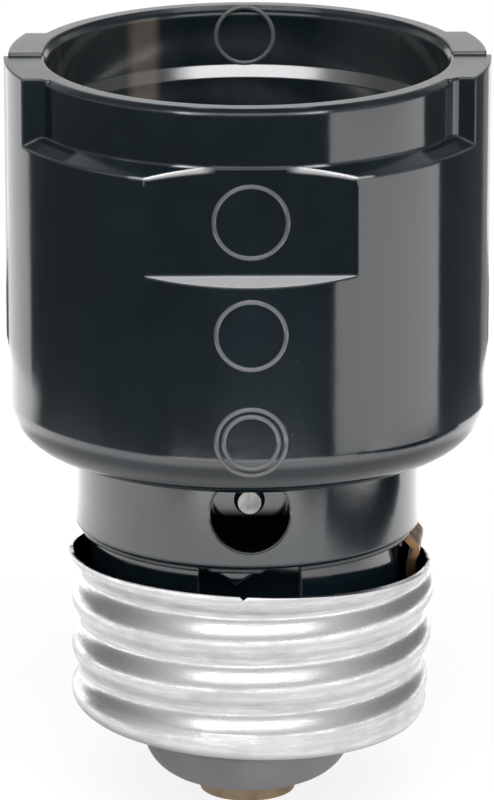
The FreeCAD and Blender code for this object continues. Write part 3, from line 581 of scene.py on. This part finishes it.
def moulded_ring(name, radius, height, wall):
    """A low raised ring on the body. Its line follows the wall, given as y at (x, z)."""
    ring = add_primitive(bpy.ops.mesh.primitive_torus_add, name, major_radius=radius,
                         minor_radius=RING_WIDTH / 2, major_segments=96, minor_segments=12,
                         rotation=(math.pi / 2, 0, 0), location=(0, 0, height))
    for vertex in ring.data.vertices:
        rise = vertex.co.y / (RING_WIDTH / 2) * RING_RISE
        vertex.co.y = wall(vertex.co.x, vertex.co.z) + rise
    finish_piece(ring, "phenolic", "adapter", sharp=60)
    ring.data.materials[0] = RING_FINISH


BARREL_RADIUS = 17.25 * MM
BARREL_CORNER = 3.15 * MM
BARREL_BASE = 27.07 * MM


def flat_wall(x, z):
    return FLAT_WALL * MM


def barrel_wall(x, z):
    """The barrel's round side, and its rounded foot below."""
    below = max(0.0, BARREL_BASE + BARREL_CORNER - z)
    inset = BARREL_CORNER - math.sqrt(max(BARREL_CORNER ** 2 - below ** 2, 0.0))
    return -math.sqrt((BARREL_RADIUS - inset) ** 2 - x ** 2)


def mouth_wall(x, z):
    return math.sqrt((BORE_RADIUS * MM) ** 2 - x ** 2)


moulded_ring("ring_on_flat", 2.56 * MM, 46.86 * MM, flat_wall)
moulded_ring("ring_on_barrel", 2.42 * MM, 39.22 * MM, barrel_wall)
moulded_ring("ring_at_foot", 2.42 * MM, 31.51 * MM, barrel_wall)
moulded_ring("ring_at_foot_inner", 1.9 * MM, 31.51 * MM, barrel_wall)
moulded_ring("ring_in_mouth", 2.08 * MM, 52.97 * MM, mouth_wall)


# The studio


def lit_stage(name, camera_look, glossy_look):
    """A stage material with its own strength for camera rays and for mirrored rays."""
    material, graph = new_graph(name)
    ray = {kind: graph.make("ShaderNodeLightPath", output=kind)
           for kind in ("Is Camera Ray", "Is Glossy Ray", "Is Transmission Ray")}
    plain = graph.make("ShaderNodeBsdfDiffuse", inputs={"Color": (0.8, 0.8, 0.8, 1)})
    seen = graph.make("ShaderNodeEmission", inputs={"Strength": camera_look})
    shaded = graph.make("ShaderNodeBsdfDiffuse", inputs={"Color": (0.22, 0.22, 0.22, 1)})
    seen = graph.make("ShaderNodeAddShader", inputs={0: seen, 1: shaded})
    mirrored = graph.make("ShaderNodeEmission", inputs={"Strength": glossy_look(graph)})
    look = graph.make("ShaderNodeMixShader", inputs={
        0: ray["Is Glossy Ray"] + ray["Is Transmission Ray"], 1: plain, 2: mirrored})
    look = graph.make("ShaderNodeMixShader", inputs={0: ray["Is Camera Ray"], 1: look, 2: seen})
    graph.make("ShaderNodeOutputMaterial", inputs={"Surface": look})
    return material


def table_glow(graph):
    """The table as the gloss sees it: shaded under the object, bright further out."""
    own = graph.make("ShaderNodeTexCoord", output="Object")
    across, along = graph.parts(own)[:2]
    reach = graph.length(own)
    near = graph.fade(reach, 8 * MM, 26 * MM)
    close_ring = graph.fade(reach, 15 * MM, 21 * MM) * graph.drop(reach, 29 * MM, 37 * MM)
    far = graph.fade(reach, 48 * MM, 74 * MM)
    horizon = graph.drop(along, -20 * MM, 20 * MM) * graph.fade(reach, 89 * MM, 97 * MM)
    glow = 0.40 + 0.55 * near + 0.2 * close_ring + 1.65 * far + 1.5 * horizon
    outer_sides = (graph.fade(graph.absolute(across), 45 * MM, 65 * MM)
                   * graph.fade(reach, 93 * MM, 101 * MM)
                   * graph.drop(along - 0.25 * across, 55 * MM, 75 * MM))
    return glow * (1 - 0.92 * outer_sides)


TABLE_RADIUS = 114 * MM
bpy.ops.object.select_all(action="DESELECT")
bpy.ops.mesh.primitive_circle_add(vertices=128, radius=TABLE_RADIUS, fill_type="NGON")
table = bpy.context.object
table.name = "table"
table.location = (-3 * MM, 6 * MM, 0)
table.data.materials.append(lit_stage("table_white", 0.85, table_glow))

CARD_TURN = math.radians(-10.6)


def table_card(name, width, length, distance, slide, glow):
    """A long card on the table at the right, seen in the gloss alone."""
    bpy.ops.mesh.primitive_plane_add(size=1)
    card = bpy.context.object
    card.name = name
    card.dimensions = (width, length, 0)
    card.rotation_euler.z = CARD_TURN
    along = Vector((-math.sin(CARD_TURN), math.cos(CARD_TURN), 0)) * slide
    card.location = Vector((math.cos(CARD_TURN), math.sin(CARD_TURN), 0)) * distance + along
    card.location.z = 0.2 * MM
    card.data.materials.append(lit_stage(name, 1.0, lambda graph: glow))
    card.visible_camera = False
    card.visible_diffuse = False
    card.visible_shadow = False


table_card("dark_card", 19 * MM, 94 * MM, 79.5 * MM, 2.6 * MM, 0.05)
table_card("pale_card", 14 * MM, 62 * MM, 96 * MM, -14 * MM, 3.0)


def softbox(name, azimuth, elevation, distance, width, height, strength, aim=VIEW_TARGET):
    """A rectangular lamp that faces the object. Azimuth 0 is the front, 90 the right."""
    a, e = math.radians(azimuth), math.radians(elevation)
    away = Vector((math.sin(a) * math.cos(e), -math.cos(a) * math.cos(e), math.sin(e)))
    lamp = bpy.data.lights.new(name, "AREA")
    lamp.shape = "RECTANGLE"
    lamp.size, lamp.size_y = width, height
    lamp.energy = strength * math.pi * width * height
    box = bpy.data.objects.new(name, lamp)
    box.location = aim + away * distance
    box.rotation_mode = "QUATERNION"
    box.rotation_quaternion = away.to_track_quat("Z", "Y")
    box.visible_camera = False
    bpy.context.collection.objects.link(box)


BARREL_MIDDLE = Vector((0, 0, 42.5 * MM))
softbox("right_box", 70, -16, 0.32, 0.35, 0.062, 2.55, BARREL_MIDDLE)
softbox("front_box", 0, 54, 0.60, 0.74, 0.42, 2.6)
softbox("back_box", 180, 4, 0.50, 0.40, 0.34, 1.0)
softbox("left_back_box", -143, -15, 0.50, 0.31, 0.28, 1.5)
softbox("right_back_box", 156, -12, 0.50, 0.16, 0.32, 0.35)

world = bpy.data.worlds.new("studio")
bpy.context.scene.world = world
world.use_nodes = True
sky = Graph(world.node_tree)
outward = sky.make("ShaderNodeTexCoord", output="Generated")
ahead, height = sky.parts(outward)[1:]
above = sky.fade(height, -0.16, -0.04) * sky.drop(height, 0.80, 0.93)
in_front = sky.drop(ahead, -0.75, 0.3)
behind = sky.fade(ahead, 0.3, 0.7) * sky.fade(height, 0.32, 0.45)
walls = 0.12 + above * (0.12 + 0.45 * in_front + 0.5 * behind)
seen = sky.make("ShaderNodeLightPath", output="Is Camera Ray")
walls = seen + (1 - seen) * walls
backdrop = sky.make("ShaderNodeBackground", inputs={"Color": (1, 1, 1, 1), "Strength": walls})
sky.make("ShaderNodeOutputWorld", inputs={"Surface": backdrop})

azimuth, elevation = math.radians(VIEW_AZIMUTH), math.radians(VIEW_ELEVATION)
back = Vector((math.sin(azimuth) * math.cos(elevation),
               -math.cos(azimuth) * math.cos(elevation), math.sin(elevation)))
lens = bpy.data.cameras.new("camera")
lens.sensor_width = SENSOR
lens.lens = FOCAL_PIXELS * SENSOR / IMAGE_HEIGHT
lens.shift_x = -TARGET_RIGHT_OF_CENTRE / IMAGE_HEIGHT
lens.shift_y = TARGET_BELOW_CENTRE / IMAGE_HEIGHT
lens.clip_start = 0.01
camera = bpy.data.objects.new("camera", lens)
camera.location = VIEW_TARGET + back * VIEW_DISTANCE
camera.rotation_mode = "QUATERNION"
camera.rotation_quaternion = back.to_track_quat("Z", "Y")
bpy.context.collection.objects.link(camera)
bpy.context.scene.camera = camera
bpy.context.scene.view_settings.view_transform = "Standard"
